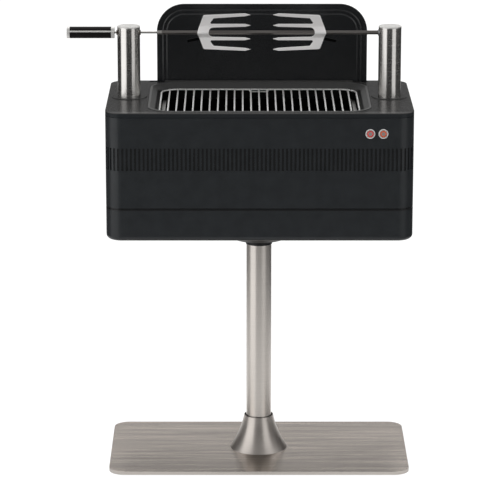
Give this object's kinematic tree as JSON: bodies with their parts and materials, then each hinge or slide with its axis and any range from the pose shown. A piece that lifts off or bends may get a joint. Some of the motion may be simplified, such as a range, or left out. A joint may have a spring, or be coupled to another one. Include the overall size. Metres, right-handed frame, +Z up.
{
  "type": "portable charcoal grill",
  "caption": "Charcoal grill in a vented box on a pole stand, with a wire grate, a standing cover panel and a motor rotisserie whose spit and forks run between retracting posts.",
  "frame": {"origin": "on the floor under the middle of the pole, on the sole of the centre pad", "axes": "+Z up, +Y towards the back, front with the buttons towards -Y, +X to the viewer's right"},
  "size_m": [0.8325, 0.4048, 1.1073],
  "materials": {
    "brushed_plate": "satin, brushed lengthwise",
    "brushed_tube": "satin, brushed round the tube",
    "brushed_cone": "satin, brushed round the cone",
    "polished_post": "semi-polished",
    "post_cap": "satin",
    "steel_parts": "plain",
    "charcoal_paint": "satin charcoal powder coat",
    "deck_coating": "fine leather grain",
    "rim_coating": "satin",
    "cover_coating": "satin",
    "enamel": "dark enamel",
    "ceramic": "matt",
    "grate_chrome": "bright",
    "spit_steel": "dull",
    "fork_steel": "satin",
    "handle_metal": "satin",
    "button_metal": "satin",
    "bearing_brass": "plain",
    "black_plastic": "matt",
    "red_lens": "translucent",
    "orange_lens": "translucent",
    "board": "matt",
    "rubber": "matt"
  },
  "bodies": {
    "grill": {"base_plate": "brushed_plate", "base_feet": "rubber", "pole_flange": "steel_parts", "flange_bolts": "steel_parts", "pole_tube": "brushed_tube", "neck_flange": "black_plastic", "neck_bolts": "steel_parts", "floor_plate": "steel_parts", "base_shell": "charcoal_paint", "body_shell": "charcoal_paint", "shell_screws": "steel_parts", "deck": "deck_coating", "deck_rim": "rim_coating", "firebox": "enamel", "firebox_spacers": "steel_parts", "firebox_nuts": "steel_parts", "heat_shield": "steel_parts", "ignition_element": "steel_parts", "element_block": "ceramic", "cover_pocket": "steel_parts", "left_post_collar": "black_plastic", "right_post_collar": "black_plastic", "left_guide": "steel_parts", "right_guide": "steel_parts", "guide_screws": "steel_parts", "button_bezels": "button_metal", "control_board": "board", "button_switches": "black_plastic", "fan_frame": "black_plastic", "power_supply": "steel_parts", "power_inlet": "black_plastic"},
    "cone": {"base_cone": "brushed_cone"},
    "cover": {"cover_panel": "cover_coating"},
    "grate": {"cooking_grate": "grate_chrome"},
    "tray": {"charcoal_tray": "enamel"},
    "left_post_unit": {"left_post": "polished_post", "left_post_cap": "post_cap", "left_post_slider": "black_plastic", "spit_bushing": "bearing_brass"},
    "right_post_unit": {"right_post": "polished_post", "right_post_cap": "post_cap", "right_post_slider": "black_plastic", "gear_motor": "steel_parts", "motor_carrier": "black_plastic"},
    "drive": {"drive_socket": "steel_parts"},
    "spit": {"spit_rod": "spit_steel", "handle_core": "handle_metal", "handle_scales": "black_plastic"},
    "left_fork_unit": {"left_fork": "fork_steel", "left_fork_clamp": "fork_steel"},
    "right_fork_unit": {"right_fork": "fork_steel", "right_fork_clamp": "fork_steel"},
    "left_lever_unit": {"left_fork_lever": "black_plastic"},
    "right_lever_unit": {"right_fork_lever": "black_plastic"},
    "ignition_push": {"ignition_button": "button_metal", "ignition_lens": "red_lens"},
    "spit_push": {"spit_button": "button_metal", "spit_lens": "orange_lens"},
    "fan_wheel": {"fan_rotor": "black_plastic"}
  },
  "joints": [
    {"name": "cone_slide", "type": "slide", "parent": "grill", "child": "cone", "axis": [0, 0, 1], "range_m": [0, 0.12]},
    {"name": "cover_lift", "type": "slide", "parent": "grill", "child": "cover", "axis": [0, 0, 1], "range_m": [0, 0.13]},
    {"name": "grate_lift", "type": "slide", "parent": "grill", "child": "grate", "axis": [0, 0, 1], "range_m": [0, 0.04]},
    {"name": "tray_lift", "type": "slide", "parent": "grill", "child": "tray", "axis": [0, 0, 1], "range_m": [0, 0.016]},
    {"name": "right_post_slide", "type": "slide", "parent": "grill", "child": "right_post_unit", "axis": [0, 0, 1], "range_m": [-0.07, 0]},
    {"name": "left_post_slide", "type": "slide", "parent": "grill", "child": "left_post_unit", "axis": [0, 0, 1], "range_m": [-0.07, 0]},
    {"name": "drive_spin", "type": "hinge", "parent": "right_post_unit", "child": "drive", "pos_m": [0.3, 0, 1.0617], "axis": [1, 0, 0], "continuous": true},
    {"name": "spit_withdraw", "type": "slide", "parent": "drive", "child": "spit", "axis": [-1, 0, 0], "range_m": [0, 0.025]},
    {"name": "left_fork_slide", "type": "slide", "parent": "spit", "child": "left_fork_unit", "axis": [1, 0, 0], "range_m": [-0.06, 0.02]},
    {"name": "right_fork_slide", "type": "slide", "parent": "spit", "child": "right_fork_unit", "axis": [1, 0, 0], "range_m": [-0.02, 0.06]},
    {"name": "left_lever_turn", "type": "hinge", "parent": "left_fork_unit", "child": "left_lever_unit", "pos_m": [-0.1385, 0, 1.0462], "axis": [0, 1, 0], "range_deg": [0, 90]},
    {"name": "right_lever_turn", "type": "hinge", "parent": "right_fork_unit", "child": "right_lever_unit", "pos_m": [0.15, 0, 1.0462], "axis": [0, -1, 0], "range_deg": [0, 90]},
    {"name": "ignition_press", "type": "slide", "parent": "grill", "child": "ignition_push", "axis": [0, 1, 0], "range_m": [0, 0.002], "stiffness_N_per_m": 800},
    {"name": "spit_press", "type": "slide", "parent": "grill", "child": "spit_push", "axis": [0, 1, 0], "range_m": [0, 0.002], "stiffness_N_per_m": 800},
    {"name": "fan_spin", "type": "hinge", "parent": "grill", "child": "fan_wheel", "pos_m": [-0.23, 0, 0.61], "axis": [0, 0, 1], "continuous": true}
  ],
  "couplings": [
    {"joint": "left_post_slide", "follows": "right_post_slide", "ratio": 1}
  ]
}
